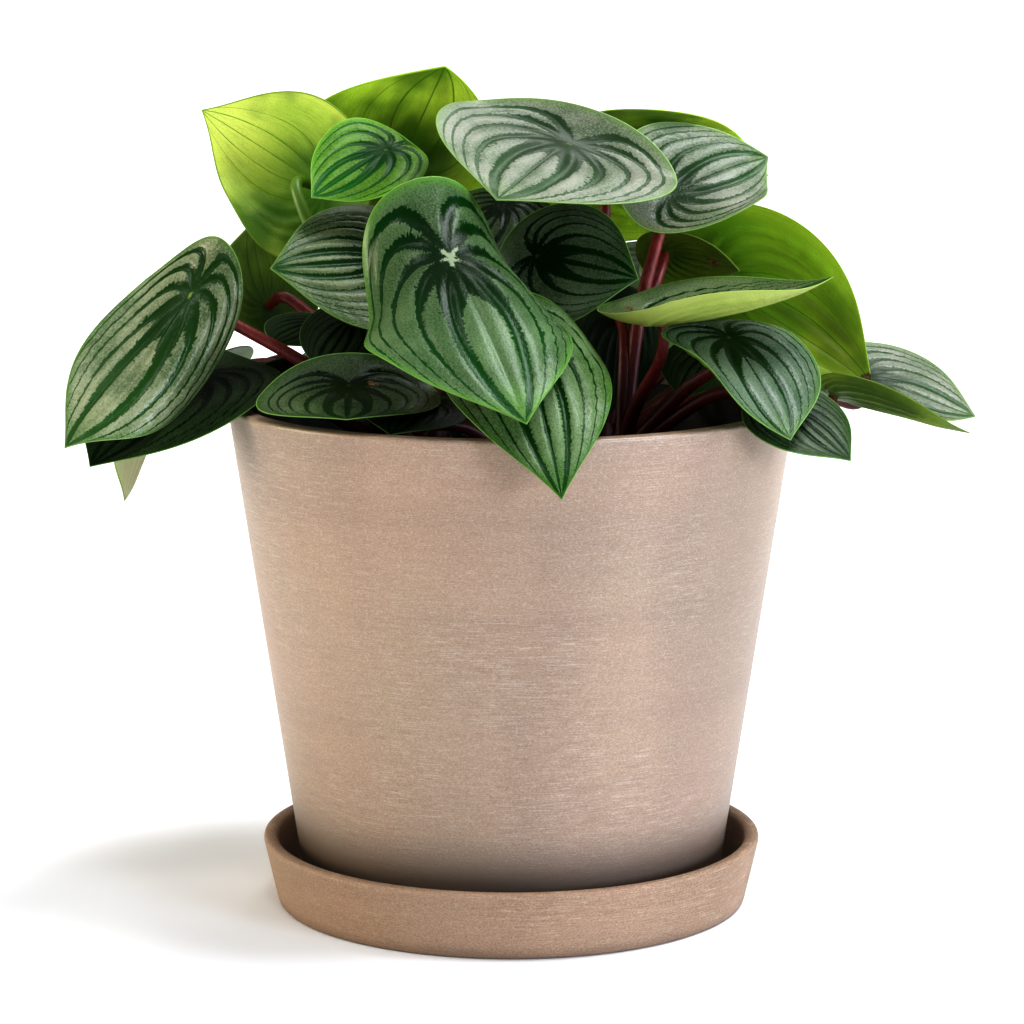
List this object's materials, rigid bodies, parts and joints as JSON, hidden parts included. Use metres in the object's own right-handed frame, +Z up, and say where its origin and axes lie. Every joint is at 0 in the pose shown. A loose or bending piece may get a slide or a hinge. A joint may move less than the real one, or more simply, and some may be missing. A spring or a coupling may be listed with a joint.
{
  "type": "potted peperomia",
  "caption": "Bushy houseplant with striped, shield-shaped leaves on red petioles, in a plain tapered clay pot standing on its matching clay saucer.",
  "frame": {"origin": "centre of the saucer's flat underside", "axes": "+Z up; the plant's front looks along -Y; the large leaf over the left rim is on the -X side"},
  "size_m": [0.2604, 0.2, 0.236],
  "materials": {
    "saucer_clay": "matte",
    "pot_clay": "matte",
    "pot_plastic": "matte",
    "soil": "matte",
    "petiole": "satin",
    "leaf": "waxy"
  },
  "bodies": {
    "root": {"saucer": "saucer_clay", "clay_pot": "pot_clay", "nursery_pot": "pot_plastic", "soil": "soil", "stem_front": "petiole", "stem_left": "petiole", "stem_right": "petiole", "stem_back_left": "petiole", "stem_back_right": "petiole", "stem_centre": "petiole", "leaf_front_large": "leaf", "leaf_front_hanging": "leaf", "leaf_front_left_low": "leaf", "leaf_front_low_dark": "leaf", "leaf_left_middle": "leaf", "leaf_left_large": "leaf", "leaf_left_lower": "leaf", "leaf_left_hanging": "leaf", "leaf_left_rim": "leaf", "leaf_left_inner": "leaf", "leaf_left_inner_dark": "leaf", "leaf_left_upright": "leaf", "leaf_top_large": "leaf", "leaf_top_right": "leaf", "leaf_young_left": "leaf", "leaf_middle_dark": "leaf", "leaf_centre_inner": "leaf", "leaf_back_left_high": "leaf", "leaf_back_top_left": "leaf", "leaf_back_right_high": "leaf", "leaf_right_level": "leaf", "leaf_front_right": "leaf", "leaf_right_curled": "leaf", "leaf_right_large": "leaf", "leaf_right_lower": "leaf", "leaf_right_outer": "leaf", "leaf_right_outer_low": "leaf", "leaf_middle_right": "leaf", "leaf_right_inner": "leaf", "leaf_back_low_centre": "leaf", "leaf_back_low_left": "leaf", "leaf_back_low_right": "leaf", "leaf_back_middle_left": "leaf", "leaf_back_middle_right": "leaf", "leaf_back_top": "leaf", "leaf_left_far_back": "leaf"}
  },
  "joints": []
}
